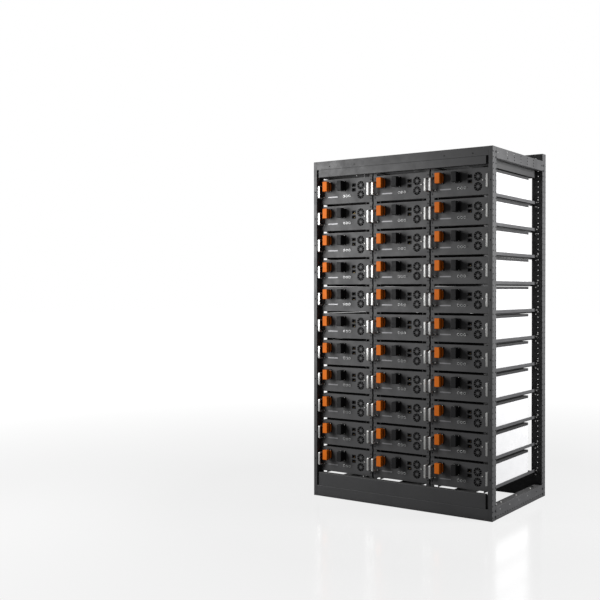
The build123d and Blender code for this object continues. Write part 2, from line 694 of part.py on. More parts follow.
def power_button():
    """Push button with a rear collar."""
    cap = rod_y(BUTTON_X, STATUS_Z, BUTTON_RADIUS, PANEL_Y - 3.5, PANEL_Y + 6)
    collar = rod_y(BUTTON_X, STATUS_Z, BUTTON_RADIUS + 2, PANEL_Y + 3.5, PANEL_Y + 6)
    return cap + collar


def panel_screws():
    """Four ear screws and two bright screws that hold the fan and sensor brackets."""
    screws = []
    for side in (-1, 1):
        for z in EAR_SCREW_Z:
            x = side * EAR_SCREW_X
            screws.append(rod_y(x, z, SCREW_HEAD, PANEL_Y - 2, PANEL_Y)
                          + rod_y(x, z, 2.5, PANEL_Y - 1, PANEL_Y + PANEL_THICKNESS))
    for x, z in ((141.0, 81.0), (-150.0, 42.0)):
        screws.append(rod_y(x, z, 3.0, PANEL_Y - 2, PANEL_Y))
    return screws


def detailed_module():
    """Node name to solids of the fully detailed module."""
    bar, feet = handle_pieces()
    handle = bar + feet
    cells = [Pos(*centre) * cell() for centres in cell_centres() for centre in centres]
    return {
        "case_tray": [case_tray()],
        "case_cover": [case_cover()],
        "front_panel": [front_panel()],
        "cell_stack": cells,
        "busbars": busbars(),
        "management_board": [management_board()],
        "positive_connector": [connector(POSITIVE_X)],
        "negative_connector": [connector(NEGATIVE_X)],
        "handles": [handle, mirrored(handle)],
        "fan_housings": [fan_housing(z) for z in FAN_CENTRES_Z],
        "upper_fan_rotor": [fan_rotor(FAN_CENTRES_Z[0])],
        "lower_fan_rotor": [fan_rotor(FAN_CENTRES_Z[1])],
        "data_ports": [data_port(z) for z in PORT_CENTRES_Z],
        "status_lights": [ring_bezel(BUTTON_X)] + [status_light(x) for x in LIGHT_CENTRES_X],
        "power_button": [power_button()],
        "panel_screws": panel_screws(),
    }


# ---- write every sub-part ---------------------------------------------------------
os.makedirs("parts", exist_ok=True)

right_front = front_corner_post()
right_rear = rear_corner_post()
right_strip = rack_flange()
save("front_right_post", right_front, right_strip)
save("front_left_post", mirrored(right_front), mirrored(right_strip))
save("rear_right_post", right_rear)
save("rear_left_post", mirrored(right_rear))
save("middle_posts", *[front_middle_post(x) for x in MIDDLE_X],
     *[rear_middle_post(x) for x in MIDDLE_X])
save("front_header", front_header())
save("front_plinth", front_plinth())
save("filler_panels", filler_panel(FILLER_Z, HEADER_Z, HEADER_Z),
     filler_panel(PLINTH_HEIGHT, PLINTH_TOP, PLINTH_HEIGHT))
save("frame_beams", *frame_beams())
save("side_rails", *side_rails())
save("support_rails", *at_every_module(support_rail()))
save("frame_bolts", *frame_bolts())

plain = simple_module()
for column in range(COLUMNS):
    for row in range(ROWS):
        if (column, row) != (DETAILED_COLUMN, DETAILED_ROW):
            name = f"module_column{column + 1}_row{row + 1:02d}"
            save(name, *place_all(plain, column, row))

for node, solids in detailed_module().items():
    save(node, *place_all(solids, DETAILED_COLUMN, DETAILED_ROW))
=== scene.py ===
import math

import bmesh
import bpy
from mathutils import Matrix, Vector


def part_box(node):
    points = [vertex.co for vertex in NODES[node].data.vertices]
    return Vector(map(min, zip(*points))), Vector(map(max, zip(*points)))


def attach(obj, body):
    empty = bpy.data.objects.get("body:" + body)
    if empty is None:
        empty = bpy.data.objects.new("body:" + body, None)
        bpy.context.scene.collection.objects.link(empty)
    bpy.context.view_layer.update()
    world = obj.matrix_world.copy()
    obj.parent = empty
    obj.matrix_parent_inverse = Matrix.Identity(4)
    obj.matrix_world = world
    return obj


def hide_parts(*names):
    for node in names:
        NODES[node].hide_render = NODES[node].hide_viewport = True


# Looks of an open battery rack with slide-in modules. Metres, +Z up, module fronts face -Y.
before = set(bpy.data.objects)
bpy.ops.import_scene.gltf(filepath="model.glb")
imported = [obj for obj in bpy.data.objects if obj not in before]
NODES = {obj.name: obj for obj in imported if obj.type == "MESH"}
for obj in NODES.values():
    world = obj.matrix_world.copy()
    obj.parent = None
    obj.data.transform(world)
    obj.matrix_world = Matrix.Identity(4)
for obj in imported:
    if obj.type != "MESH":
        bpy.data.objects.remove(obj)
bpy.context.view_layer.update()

MM = 0.001
DETAILED = "detailed_module"

# ---- places taken from the frame -------------------------------------------------
PANEL_LOW, PANEL_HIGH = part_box("front_panel")
PANEL_CENTRE_X = (PANEL_LOW.x + PANEL_HIGH.x) / 2
PANEL_Y = PANEL_LOW.y
PANEL_BOTTOM = PANEL_LOW.z
PANEL_WIDTH = (PANEL_HIGH.x - PANEL_LOW.x) / MM
PANEL_HEIGHT = (PANEL_HIGH.z - PANEL_LOW.z) / MM
PANEL_THICKNESS = (PANEL_HIGH.y - PANEL_LOW.y) / MM
TRAY_LOW, TRAY_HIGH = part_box("case_tray")
CASE_WIDTH = (TRAY_HIGH.x - TRAY_LOW.x) / MM
CASE_FRONT = (TRAY_LOW.y - PANEL_Y) / MM
CASE_BACK = (TRAY_HIGH.y - PANEL_Y) / MM
CASE_BOTTOM = (TRAY_LOW.z - PANEL_BOTTOM) / MM
CASE_TOP = (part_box("case_cover")[1].z - PANEL_BOTTOM) / MM


def middle_of(node):
    """Centre of a node in module millimetres: x and z from the panel, y from its face."""
    low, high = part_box(node)
    centre = (low + high) / 2
    return Vector((centre.x - PANEL_CENTRE_X, centre.y - PANEL_Y, centre.z - PANEL_BOTTOM)) / MM


POSITIVE_X = middle_of("positive_connector").x - 1.0
NEGATIVE_X = middle_of("negative_connector").x - 1.0
CONNECTOR_Z = middle_of("positive_connector").z
CONNECTOR_REACH = (PANEL_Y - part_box("positive_connector")[0].y) / MM
FAN_X = middle_of("upper_fan_rotor").x
FAN_HEIGHTS = (middle_of("upper_fan_rotor").z, middle_of("lower_fan_rotor").z)
BUTTON = middle_of("power_button")
PORT = middle_of("data_ports")
LIGHTS_X = (BUTTON.x + 20, BUTTON.x + 40)
RESET_X = BUTTON.x + 56
HANDLE_X = (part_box("handles")[1].x - PANEL_CENTRE_X) / MM - 7.0
HANDLE_Z = middle_of("handles").z
HANDLE_REACH = (PANEL_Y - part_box("handles")[0].y) / MM

# ---- driving sizes of the fittings, millimetres -----------------------------------
HANDLE_LENGTH = 80.0
HANDLE_WIDTH = 14.0
HANDLE_BAR = 8.0
CONNECTOR_WIDTH = 33.0
CONNECTOR_HEIGHT = 60.0
FAN_RADIUS = 25.0
FAN_HUB = 9.0
FAN_SPOKE = 2.6
FAN_SLOTS = 10
BLADES = 7
BLADE_RADII = (10.5, 14.5, 18.5, 22.5)
BLADE_HALF_CHORD = 6.2
BLADE_DEPTH = 12.0
BLADE_SHEET = 0.8
EAR_SCREW_X = 181.0
EAR_SCREW_HEIGHTS = (20.0, 134.0)
PORT_WIDTH = 27.0
PORT_HEIGHT = 21.0
PORT_SPACING = 28.5
NAMEPLATE = (-96.0, 42.0, 72.0, 7.0)  # x, z, width, height
SMALL_HOLES = ((-148.0, 42.0), (148.0, 81.0))  # x and z
BRACKET_SCREWS = ((138.0, 81.0), (-162.0, 42.0))  # x and z
TOP_FLANGE_END = 90.0
CASE_SHEET_THICKNESS = 1.5
COVER_SHEET = 1.2
COVER_LIP = 15.0
COVER_SCREWS = 6  # along each lip
AIR_BANKS_X = (-90.0, 90.0)
AIR_SLOTS = 9
AIR_SLOT_PITCH = 12.0
AIR_SLOT_WIDTH = 5.0
AIR_SLOT_Z = (50.0, 100.0)
FLOOR_SIZE = 80.0  # metres
AMBIENT = 0.10  # light from all round, against the white that the camera sees


# ---- node helpers for materials ----------------------------------------------------
def new_material(name):
    material = bpy.data.materials.new(name)
    material.use_nodes = True
    tree = material.node_tree
    return material, tree, tree.nodes["Principled BSDF"]


def link(tree, source, output, target, socket):
    tree.links.new(source.outputs[output], target.inputs[socket])


def noise(tree, scale, detail=4.0, roughness=0.55, stretch=(1, 1, 1)):
    """Noise in the object's own metres, so that its grain has a real size."""
    place = tree.nodes.new("ShaderNodeNewGeometry")
    mapping = tree.nodes.new("ShaderNodeMapping")
    mapping.inputs["Scale"].default_value = stretch
    texture = tree.nodes.new("ShaderNodeTexNoise")
    texture.inputs["Scale"].default_value = scale
    texture.inputs["Detail"].default_value = detail
    texture.inputs["Roughness"].default_value = roughness
    link(tree, place, "Position", mapping, "Vector")
    link(tree, mapping, "Vector", texture, "Vector")
    return texture


def ramp(tree, source, output, stops):
    """Colour ramp over a value; each stop is (position, grey or colour)."""
    node = tree.nodes.new("ShaderNodeValToRGB")
    elements = node.color_ramp.elements
    while len(elements) < len(stops):
        elements.new(0.5)
    for element, (position, value) in zip(elements, stops):
        element.position = position
        colour = (value,) * 3 if isinstance(value, (int, float)) else value
        element.color = (*colour, 1)
    link(tree, source, output, node, "Fac")
    return node


def tinted(colour, factor):
    return tuple(min(channel * factor, 1.0) for channel in colour)


def vary_colour(tree, shader, colour, scale, spread):
    """Base colour that drifts a little from place to place."""
    drift = ramp(tree, noise(tree, scale), "Fac",
                 [(0.3, tinted(colour, 1 - spread)), (0.7, tinted(colour, 1 + spread))])
    link(tree, drift, "Color", shader, "Base Color")
    return drift


def vary_roughness(tree, shader, low, high, scale):
    rough = ramp(tree, noise(tree, scale, 6.0, 0.65), "Fac", [(0.35, low), (0.65, high)])
    link(tree, rough, "Color", shader, "Roughness")


def add_bump(tree, shader, texture, output, strength, distance):
    bump = tree.nodes.new("ShaderNodeBump")
    bump.inputs["Strength"].default_value = strength
    bump.inputs["Distance"].default_value = distance
    link(tree, texture, output, bump, "Height")
    link(tree, bump, "Normal", shader, "Normal")


def split_geometry(tree, output):
    """X, Y and Z of the position or the normal."""
    geometry = tree.nodes.new("ShaderNodeNewGeometry")
    split = tree.nodes.new("ShaderNodeSeparateXYZ")
    link(tree, geometry, output, split, "Vector")
    return split


def sideways(tree, output, stops):
    """Colour ramp over the size of the X part of the position or the normal."""
    size = tree.nodes.new("ShaderNodeMath")
    size.operation = "ABSOLUTE"
    link(tree, split_geometry(tree, output), "X", size, 0)
    return ramp(tree, size, "Value", stops)


def crevice_shade(tree, shader, source, output, reach, least):
    """Painted shade: base colour made deeper inside holes, gaps and corners, over a reach in
    metres.
    """
    depth = tree.nodes.new("ShaderNodeAmbientOcclusion")
    depth.samples = 4
    depth.inputs["Distance"].default_value = reach
    shade = ramp(tree, depth, "AO", [(0.25, least), (0.85, 1.0)])
    mix = tree.nodes.new("ShaderNodeMix")
    mix.data_type = "RGBA"
    mix.blend_type = "MULTIPLY"
    mix.inputs["Factor"].default_value = 1.0
    link(tree, source, output, mix, "A")
    link(tree, shade, "Color", mix, "B")
    link(tree, mix, "Result", shader, "Base Color")


def powder_coat(name, colour, low=0.42, high=0.6, dust=0.06):
    """Textured powder coat with fine orange peel, uneven gloss and dust on top, with painted shade
    in holes, gaps and corners.
    """
    material, tree, shader = new_material(name)
    drift = vary_colour(tree, shader, colour, 3.0, 0.10)
    upward = ramp(tree, split_geometry(tree, "Normal"), "Z", [(0.6, 0.0), (1.0, dust)])
    mix = tree.nodes.new("ShaderNodeMix")
    mix.data_type = "RGBA"
    mix.inputs["B"].default_value = (0.55, 0.54, 0.52, 1)
    link(tree, upward, "Color", mix, "Factor")
    link(tree, drift, "Color", mix, "A")
    # painted shade: the coat's colour is darkened in holes, gaps and corners
    crevice_shade(tree, shader, mix, "Result", 0.035, 0.15)
    vary_roughness(tree, shader, low, high, 14.0)
    add_bump(tree, shader, noise(tree, 900.0, 2.0), "Fac", 0.12, 0.0004)
    return material


def brushed_metal(name, colour, stretch, low=0.22, high=0.38, metallic=0.55):
    """Metal with fine lines along one direction."""
    material, tree, shader = new_material(name)
    shader.inputs["Metallic"].default_value = metallic
    vary_colour(tree, shader, colour, 8.0, 0.06)
    lines = noise(tree, 240.0, 3.0, 0.6, stretch)
    rough = ramp(tree, lines, "Fac", [(0.3, low), (0.7, high)])
    link(tree, rough, "Color", shader, "Roughness")
    add_bump(tree, shader, lines, "Fac", 0.08, 0.0003)
    return material


def two_tone_bolts(name):
    """Black oxide on the bolts of the outer sides, bright zinc on the inner screws."""
    material, tree, shader = new_material(name)
    shader.inputs["Metallic"].default_value = 0.35
    colour = sideways(tree, "Position", [(0.598, (0.9, 0.89, 0.86)), (0.600, (0.03, 0.03, 0.032))])
    link(tree, colour, "Color", shader, "Base Color")
    vary_roughness(tree, shader, 0.3, 0.5, 60.0)
    add_bump(tree, shader, noise(tree, 400.0, 3.0), "Fac", 0.08, 0.0003)
    return material


def rear_post_coat(name):
    """Coat of a rear post with painted shade: darker on the faces that look forwards and
    backwards, and in holes, gaps and corners.
    """
    material, tree, shader = new_material(name)
    # painted shade: faces that look forwards or backwards are darker than the outer sides
    painted_shade = sideways(tree, "Normal", [(0.3, (0.016, 0.016, 0.017)), (0.8, (0.052, 0.052, 0.054))])
    crevice_shade(tree, shader, painted_shade, "Color", 0.035, 0.15)
    vary_roughness(tree, shader, 0.45, 0.62, 14.0)
    add_bump(tree, shader, noise(tree, 900.0, 3.0), "Fac", 0.1, 0.0002)
    return material


def moulded_plastic(name, colour, low, high, spread=0.08, grain=700.0):
    """Moulded housing with a fine spark-eroded grain."""
    material, tree, shader = new_material(name)
    shader.inputs["Specular IOR Level"].default_value = 0.2
    vary_colour(tree, shader, colour, 20.0, spread)
    vary_roughness(tree, shader, low, high, 60.0)
    add_bump(tree, shader, noise(tree, grain, 3.0), "Fac", 0.15, 0.0003)
    return material


def painted_sheet(name, colour, metallic, low, high):
    """Coated steel sheet with slow waviness and fine speckle, with painted shade in holes, gaps
    and corners.
    """
    material, tree, shader = new_material(name)
    shader.inputs["Metallic"].default_value = metallic
    drift = vary_colour(tree, shader, colour, 5.0, 0.04)
    # painted shade: the sheet is darkened in holes, gaps and corners, over a wide reach
    crevice_shade(tree, shader, drift, "Color", 0.09, 0.45)
    vary_roughness(tree, shader, low, high, 25.0)
    add_bump(tree, shader, noise(tree, 18.0, 3.0), "Fac", 0.05, 0.002)
    return material


def circuit_board(name):
    """Green solder mask with a faint grid of tracks."""
    material, tree, shader = new_material(name)
    place = tree.nodes.new("ShaderNodeNewGeometry")
    bricks = tree.nodes.new("ShaderNodeTexBrick")
    bricks.inputs["Scale"].default_value = 90.0
    bricks.inputs["Color1"].default_value = (0.02, 0.16, 0.07, 1)
    bricks.inputs["Color2"].default_value = (0.02, 0.12, 0.05, 1)
    bricks.inputs["Mortar"].default_value = (0.05, 0.3, 0.14, 1)
    link(tree, place, "Position", bricks, "Vector")
    link(tree, bricks, "Color", shader, "Base Color")
    vary_roughness(tree, shader, 0.3, 0.45, 120.0)
    return material


FRAME_COAT = powder_coat("frame_coat", (0.050, 0.050, 0.052))
PANEL_COAT = powder_coat("panel_coat", (0.060, 0.060, 0.062), 0.5, 0.66, 0.04)
RAIL_COAT = powder_coat("rail_coat", (0.062, 0.062, 0.065), 0.4, 0.55)
# near-black coat for case covers and lips: painted shade, standing in for the shade in the gaps
# between stacked modules
COVER_SHADED_COAT = powder_coat("cover_coat", (0.010, 0.010, 0.011), 0.6, 0.75)
# darker copy of the frame coat: painted shade for the rear header and top guides, which sit in
# shade
REAR_SHADED_COAT = powder_coat("rear_coat", (0.024, 0.024, 0.025), 0.5, 0.65)
CASE_SHEET = painted_sheet("case_sheet", (0.76, 0.76, 0.77), 0.15, 0.28, 0.42)
HANDLE_METAL = brushed_metal("handle_aluminium", (0.56, 0.56, 0.55), (1, 1, 0.06), 0.25, 0.4)
SCREW_METAL = brushed_metal("screw_zinc", (0.90, 0.89, 0.86), (1, 1, 1), 0.25, 0.45, 0.35)
DARK_SCREW = brushed_metal("screw_black_oxide", (0.035, 0.035, 0.037), (1, 1, 1), 0.4, 0.6)
ORANGE = moulded_plastic("orange_housing", (0.74, 0.165, 0.006), 0.55, 0.7)
BLACK = moulded_plastic("black_housing", (0.011, 0.011, 0.012), 0.5, 0.66)
DEEP_BLACK = moulded_plastic("inner_black", (0.006, 0.006, 0.007), 0.6, 0.8)
RING = brushed_metal("light_ring", (0.62, 0.62, 0.62), (1, 1, 1), 0.2, 0.3, 0.3)
LENS = moulded_plastic("dark_lens", (0.02, 0.03, 0.03), 0.08, 0.16, 0.2, 200.0)
PLATE = painted_sheet("blank_plate", (0.26, 0.26, 0.27), 0.3, 0.3, 0.45)
BOLT_METAL = two_tone_bolts("frame_bolt_metal")
# rear posts carry painted shade on the faces that look forwards and backwards
POST_SHADED_COAT = rear_post_coat("rear_post_coat")
CONTACT = brushed_metal("contact_gold", (0.9, 0.62, 0.25), (1, 1, 1), 0.2, 0.3)
CELL = painted_sheet("cell_film", (0.03, 0.16, 0.42), 0.2, 0.25, 0.4)
COPPER = brushed_metal("busbar_copper", (0.83, 0.42, 0.25), (1, 0.08, 1), 0.2, 0.36)
BOARD = circuit_board("board_green")


# ---- mesh helpers, millimetres in module space --------------------------------------
def flat_regions(work):
    """Area of the flat region that each face belongs to."""
    region_area = {}
    for seed in work.faces:
        if seed in region_area:
            continue
        region, queue = {seed}, [seed]
        while queue:
            face = queue.pop()
            for edge in face.edges:
                for other in edge.link_faces:
                    if other not in region and other.normal.dot(face.normal) > 0.99999:
                        region.add(other)
                        queue.append(other)
        area = sum(face.calc_area() for face in region)
        region_area.update((face, area) for face in region)
    return region_area


def soften_normals(mesh, limit=50.0):
    """Large flats keep their own normal, and the rounded edges between them turn smoothly."""
    work = bmesh.new()
    work.from_mesh(mesh)
    work.normal_update()
    area = flat_regions(work)
    least = math.cos(math.radians(limit))
    normals = []
    for face in work.faces:
        for loop in face.loops:
            total = Vector()
            seen = []
            for other in loop.vert.link_faces:
                turn = other.normal.dot(face.normal)
                if turn > least and all(other.normal.dot(known) < 0.99999 for known in seen):
                    seen.append(other.normal)
                    total += other.normal * area[other]
            normals.append(total.normalized() if total.length > 0 else face.normal.copy())
    for face in work.faces:
        face.smooth = True
    work.to_mesh(mesh)
    work.free()
    mesh.normals_split_custom_set(normals)


class Build:
    """Gathers shapes of several materials into one mesh."""

    def __init__(self, name):
        self.name = name
        self.work = bmesh.new()
        self.materials = []

    def add(self, mesh, material):
        if material not in self.materials:
            self.materials.append(material)
        before = len(self.work.faces)
        self.work.from_mesh(mesh)
        self.work.faces.ensure_lookup_table()
        for face in self.work.faces[before:]:
            face.material_index = self.materials.index(material)
        bpy.data.meshes.remove(mesh)
        return self

    def finish(self):
        mesh = bpy.data.meshes.new(self.name)
        self.work.to_mesh(mesh)
        self.work.free()
        for material in self.materials:
            mesh.materials.append(material)
        soften_normals(mesh)
        return mesh


def mesh_of(work):
    mesh = bpy.data.meshes.new("shape")
    work.to_mesh(mesh)
    work.free()
    return mesh


def rounded_box(x0, x1, y0, y1, z0, z1, radius=0.8, segments=2):
    """Box between two corners with every edge rounded."""
    work = bmesh.new()
    bmesh.ops.create_cube(work, size=1.0)
    size = Vector((abs(x1 - x0), abs(y1 - y0), abs(z1 - z0)))
    centre = Vector((x0 + x1, y0 + y1, z0 + z1)) / 2
    for vertex in work.verts:
        vertex.co = Vector(a * b for a, b in zip(vertex.co, size)) + centre
    width = min(radius, min(size) * 0.45)
    bmesh.ops.bevel(work, geom=work.edges[:], offset=width, segments=segments,
                    profile=0.5, affect="EDGES", clamp_overlap=True)
    for vertex in work.verts:
        vertex.co *= MM
    return mesh_of(work)


def turned(profile, x, z, steps=28):
    """Shape turned about an axis along Y; profile is a list of (radius, y)."""
    work = bmesh.new()
    rings = []
    for radius, y in profile:
        if radius < 1e-6:
            rings.append([work.verts.new((x * MM, y * MM, z * MM))])
            continue
        ring = []
        for i in range(steps):
            turn = 2 * math.pi * i / steps
            ring.append(work.verts.new(((x + radius * math.cos(turn)) * MM, y * MM,
                                        (z + radius * math.sin(turn)) * MM)))
        rings.append(ring)
    for low, high in zip(rings, rings[1:]):
        for i in range(steps):
            j = (i + 1) % steps
            corners = [low[i % len(low)], low[j % len(low)],
                       high[j % len(high)], high[i % len(high)]]
            work.faces.new(list(dict.fromkeys(corners)))
    bmesh.ops.recalc_face_normals(work, faces=work.faces[:])
    return mesh_of(work)


def screw(x, z, radius, height, y=0.0):
    """Domed screw head with a hexagon socket, standing out of y towards -Y."""
    socket = radius * 0.45
    top = y - height
    profile = [(radius, y), (radius, y - height * 0.55), (radius * 0.86, y - height * 0.9),
               (radius * 0.62, top), (socket, top), (socket, top + height * 0.6),
               (0, top + height * 0.6)]
    return turned(profile, x, z, 24)


def rectangle(x0, x1, z0, z1, radius=0.0, steps=4):
    """Outline of a rectangle with round corners."""
    if radius <= 0:
        return [(x0, z0), (x1, z0), (x1, z1), (x0, z1)]
    points = []
    corners = ((x1 - radius, z1 - radius, 0), (x0 + radius, z1 - radius, 90),
               (x0 + radius, z0 + radius, 180), (x1 - radius, z0 + radius, 270))
    for cx, cz, start in corners:
        for i in range(steps + 1):
            turn = math.radians(start + 90 * i / steps)
            points.append((cx + radius * math.cos(turn), cz + radius * math.sin(turn)))
    return points


def circle(x, z, radius, steps=20):
    turns = [2 * math.pi * i / steps for i in range(steps)]
    return [(x + radius * math.cos(t), z + radius * math.sin(t)) for t in turns]


def plate(outlines, y0, y1, edge=0.4, turn=None):
    """Flat plate in the XZ plane between y0 and y1; outlines after the first are holes."""
    curve = bpy.data.curves.new("plate", "CURVE")
    curve.dimensions = "2D"
    curve.fill_mode = "BOTH"
    for points in outlines:
        spline = curve.splines.new("POLY")
        spline.points.add(len(points) - 1)
        for point, (x, z) in zip(spline.points, points):
            point.co = (x * MM, z * MM, 0, 1)
        spline.use_cyclic_u = True
    depth = abs(y1 - y0) * MM
    edge = min(edge * MM, depth * 0.45)
    curve.extrude = depth / 2 - edge
    curve.bevel_depth = edge
    curve.bevel_resolution = 1
    curve.offset = -edge
    holder = bpy.data.objects.new("plate", curve)
    mesh = bpy.data.meshes.new_from_object(holder)
    bpy.data.objects.remove(holder)
    bpy.data.curves.remove(curve)
    upright = Matrix.Rotation(math.radians(90), 4, "X")
    mesh.transform(upright)
    if turn is not None:
        mesh.transform(turn)
    else:
        mesh.transform(Matrix.Translation((0, (y0 + y1) / 2 * MM, 0)))
    work = bmesh.new()
    work.from_mesh(mesh)
    bmesh.ops.remove_doubles(work, verts=work.verts[:], dist=1e-6)
    bmesh.ops.recalc_face_normals(work, faces=work.faces[:])
    work.to_mesh(mesh)
    work.free()
    return mesh


# ---- module front ---------------------------------------------------------------------
def fan_slot_outlines(x, z):
    """Wedge slots between the hub and the rim of a fan grille."""
    outlines = []
    for i in range(FAN_SLOTS):
        middle = 2 * math.pi * (i + 0.5) / FAN_SLOTS
        points = []
        for radius, order in ((FAN_RADIUS, 1), (FAN_HUB, -1)):
            half = math.pi / FAN_SLOTS - FAN_SPOKE / 2 / radius
            steps = 5 if order == 1 else 3
            for k in range(steps + 1):
                turn = middle + order * half * (2 * k / steps - 1)
                points.append((x + radius * math.cos(turn), z + radius * math.sin(turn)))
        outlines.append(points)
    return outlines


def port_heights():
    return (PORT.z + PORT_SPACING / 2, PORT.z - PORT_SPACING / 2)


def add_panel(build):
    """Panel sheet with ears, fan slots, port windows and small holes."""
    half = PANEL_WIDTH / 2
    outlines = [rectangle(-half, half, 0, PANEL_HEIGHT, 2.0)]
    for z in FAN_HEIGHTS:
        outlines += fan_slot_outlines(FAN_X, z)
    for z in port_heights():
        outlines.append(rectangle(PORT.x - 11, PORT.x + 11, z - 8, z + 8, 1.0))
    outlines.append(circle(RESET_X, BUTTON.z, 2.0))
    outlines += [circle(x, z, 2.6) for x, z in SMALL_HOLES]
    build.add(plate(outlines, 0, PANEL_THICKNESS, 0.5), PANEL_COAT)


def add_handle(build, side):
    """Bow handle: grip bar with bevelled corners and two legs on small feet."""
    half, reach, bar, cut = HANDLE_LENGTH / 2, HANDLE_REACH, HANDLE_BAR, 6.0
    outer = [(0, -half), (reach - cut, -half), (reach, -half + cut), (reach, half - cut),
             (reach - cut, half), (0, half)]
    inner = [(0, half - bar), (reach - bar - 3, half - bar), (reach - bar, half - bar - 3),
             (reach - bar, -half + bar + 3), (reach - bar - 3, -half + bar), (0, -half + bar)]
    turn = (Matrix.Translation((side * HANDLE_X * MM, 0, HANDLE_Z * MM))
            @ Matrix.Rotation(math.radians(-90), 4, "Z"))
    build.add(plate([outer + inner], -HANDLE_WIDTH / 2, HANDLE_WIDTH / 2, 2.0, turn),
              HANDLE_METAL)
    for end in (-1, 1):
        z = HANDLE_Z + end * (half - bar / 2)
        x = side * HANDLE_X
        build.add(rounded_box(x - 8, x + 8, -2.0, 0, z - 5.5, z + 5.5, 0.8), DARK_SCREW)


def add_connector(build, x, housing):
    """Panel connector: flanged base, waisted neck, head with a grooved face and a latch."""
    half, tall, reach = CONNECTOR_WIDTH / 2, CONNECTOR_HEIGHT / 2, CONNECTOR_REACH
    z = CONNECTOR_Z
    build.add(rounded_box(x - half - 1, x + half + 1, -9, 0, z - tall - 0.5, z + tall + 0.5,
                          1.5, 3), BLACK)
    build.add(rounded_box(x - half + 1, x + half + 2.5, -14, -8, z - tall + 6, z + tall - 6, 1.2),
              housing)
    build.add(rounded_box(x - 13, x + 13, -24, -8, z - 25, z + 25, 1.5), BLACK)
    build.add(rounded_box(x - half, x + half, -reach, -22, z - tall, z + tall, 3.0, 4), housing)
    for k in range(5):
        rib = z - 16 + 8 * k
        for x0, x1 in ((x + half - 0.6, x + half + 0.9), (x - half - 0.9, x - half + 0.6)):
            build.add(rounded_box(x0, x1, -reach + 6, -26, rib - 1.2, rib + 1.2, 0.5), housing)
    build.add(rounded_box(x + half - 1, x + half + 3, -13, -4, z - 16, z + 16, 1.0), housing)
    build.add(rounded_box(x - 6, x + 6, -34, -12, z + tall - 2, z + tall + 0.5, 0.6), BLACK)
    for sx in (-1, 1):
        for sz in (-1, 1):
            head = screw(x + sx * (half - 2.5), z + sz * (tall - 3), 1.8, 1.0, -9)
            build.add(head, SCREW_METAL)


def add_port(build, z):
    """Data socket: bezel with a keyed mouth, dark shell and eight contacts."""
    x = PORT.x
    mouth = [(x - 9.5, z - 7), (x + 9.5, z - 7), (x + 9.5, z + 4), (x + 5, z + 4),
             (x + 5, z + 7), (x - 5, z + 7), (x - 5, z + 4), (x - 9.5, z + 4)]
    bezel = rectangle(x - PORT_WIDTH / 2, x + PORT_WIDTH / 2, z - PORT_HEIGHT / 2,
                      z + PORT_HEIGHT / 2, 2.0)
    build.add(plate([bezel, mouth], -1.5, 0, 0.4), DEEP_BLACK)
    build.add(rounded_box(x - 10.5, x + 10.5, 13, 19, z - 7.5, z + 7.5, 0.6), DEEP_BLACK)
    for side in (-1, 1):
        build.add(rounded_box(x + side * 8, x + side * 10.5, 0, 14, z - 7.5, z + 7.5, 0.3),
                  DEEP_BLACK)
    for low, high in ((-7.5, -5.5), (6, 7.5)):
        build.add(rounded_box(x - 10.5, x + 10.5, 0, 14, z + low, z + high, 0.3), DEEP_BLACK)
    for k in range(8):
        pin = x - 4.4 + 1.26 * k
        build.add(rounded_box(pin - 0.25, pin + 0.25, 4, 13, z - 5.4, z - 4.6, 0.1, 1), CONTACT)


def ring_profile(inner, outer, height):
    """Section of a round bezel with softened rims."""
    return [(inner, 0.5), (inner, -height + 0.5), (inner + 0.5, -height), (outer - 0.9, -height),
            (outer, -height + 0.9), (outer, 0), (inner, 0.5)]


def add_status(build):
    """Bezels of the button and the lights, and dark lenses."""
    for x in (BUTTON.x, *LIGHTS_X):
        build.add(turned(ring_profile(4.8, 7.5, 2.0), x, BUTTON.z), RING)
    for x in LIGHTS_X:
        lens = [(4.7, 2), (4.7, -1.0), (4.0, -1.9), (2.2, -2.4), (0, -2.5)]
        build.add(turned(lens, x, BUTTON.z), LENS)


def fan_blade(x, z, k):
    """Twisted, cambered blade number k of a fan at (x, z)."""
    work = bmesh.new()
    rows = []
    for j, radius in enumerate(BLADE_RADII):
        tilt = math.radians(48 - 6 * j)
        start = 2 * math.pi * k / BLADES + 0.05 * j
        row = []
        for side in (-1, 0, 1):
            along = BLADE_HALF_CHORD * side * math.cos(tilt) / radius
            camber = 0.9 if side == 0 else 0
            depth = BLADE_DEPTH + BLADE_HALF_CHORD * side * math.sin(tilt) + camber
            row.append(work.verts.new(((x + radius * math.cos(start + along)) * MM, depth * MM,
                                       (z + radius * math.sin(start + along)) * MM)))
        rows.append(row)
    for a, b in zip(rows, rows[1:]):
        for i in range(2):
            work.faces.new((a[i], a[i + 1], b[i + 1], b[i]))
    bmesh.ops.solidify(work, geom=work.faces[:], thickness=BLADE_SHEET * MM)
    return mesh_of(work)


def add_still_fan(build, x, z):
    """Dark well with a rotor that does not turn, for a module without its own rotors."""
    well = FAN_RADIUS + 1.5
    build.add(turned([(well, 3), (well, 22), (0, 22)], x, z, 32), DEEP_BLACK)
    build.add(turned([(11, 18), (11, 8), (10, 7), (0, 6.6)], x, z), DEEP_BLACK)
    for k in range(BLADES):
        build.add(fan_blade(x, z, k), BLACK)


def add_screws(build):
    """Dark ear screws and two bright bracket screws."""
    for side in (-1, 1):
        for z in EAR_SCREW_HEIGHTS:
            build.add(screw(side * EAR_SCREW_X, z, 4.5, 2.0), DARK_SCREW)
    for x, z in BRACKET_SCREWS:
        build.add(screw(x, z, 3.4, 2.0), SCREW_METAL)


